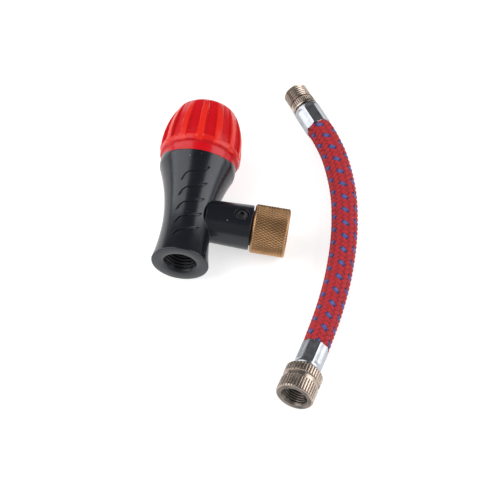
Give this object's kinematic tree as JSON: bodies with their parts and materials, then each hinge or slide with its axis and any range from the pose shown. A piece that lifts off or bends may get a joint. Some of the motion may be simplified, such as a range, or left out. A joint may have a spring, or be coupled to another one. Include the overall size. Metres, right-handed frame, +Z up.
{
  "type": "portable tire inflator",
  "caption": "Pocket gas-cartridge tire inflator: black T-shaped head with red twist knob and brass valve chuck, and a braided extension hose.",
  "frame": {"origin": "middle of the head's footprint on the surface that it lies on, without the hose", "axes": "+Z up; +Y from the foot of the head towards its knob; the branch points along +X"},
  "size_m": [0.0625, 0.1186, 0.0249],
  "materials": {
    "black_coat": "satin",
    "red_knob": "gloss",
    "brass": "satin",
    "nickel_brass": "satin",
    "zinc_crimp": "bright",
    "steel": "satin",
    "black_steel": "satin",
    "seal_rubber": "matte",
    "braid": "matte"
  },
  "bodies": {
    "head": {"body": "black_coat", "gland_nut": "brass", "gland_seal": "seal_rubber", "needle_holder": "brass", "piercing_needle": "steel", "cartridge_seal": "seal_rubber", "set_screw": "black_steel"},
    "valve": {"valve_carrier": "brass", "valve_washer": "seal_rubber"},
    "knob": {"knob": "red_knob", "spindle": "steel", "spindle_seal": "seal_rubber", "stop_ring": "steel"},
    "chuck": {"chuck": "brass", "chuck_seals": "seal_rubber", "chuck_washer": "seal_rubber", "core_pin": "brass"},
    "hose": {"hose_braid": "braid", "hose_liner": "seal_rubber", "male_fitting": "nickel_brass", "male_ferrule": "zinc_crimp", "female_tail": "nickel_brass", "female_ferrule": "zinc_crimp", "tail_washer": "seal_rubber", "depressor_pin": "brass"},
    "nut": {"coupling_nut": "nickel_brass"}
  },
  "joints": [
    {"name": "valve_lift", "type": "slide", "parent": "head", "child": "valve", "axis": [0, 0.9948, 0.102], "range_m": [0, 0.00075]},
    {"name": "knob_turn", "type": "hinge", "parent": "valve", "child": "knob", "pos_m": [-0.00897, 0.01261, 0.01251], "axis": [0, 0.9948, 0.102], "range_deg": [0, 270]},
    {"name": "chuck_spin", "type": "hinge", "parent": "head", "child": "chuck", "pos_m": [0.01492, -0.01073, 0.00781], "axis": [0.9954, 0.0097, -0.0951], "continuous": true},
    {"name": "hose_lift", "type": "slide", "parent": "head", "child": "hose", "axis": [0, 0, 1], "range_m": [0, 0.06]},
    {"name": "coupling_nut_spin", "type": "hinge", "parent": "hose", "child": "nut", "pos_m": [0.03096, -0.06211, 0.00557], "axis": [0.213, 0.977, 0], "continuous": true}
  ],
  "couplings": [
    {"joint": "valve_lift", "follows": "knob_turn", "m_per_rad": 0.00015915}
  ]
}
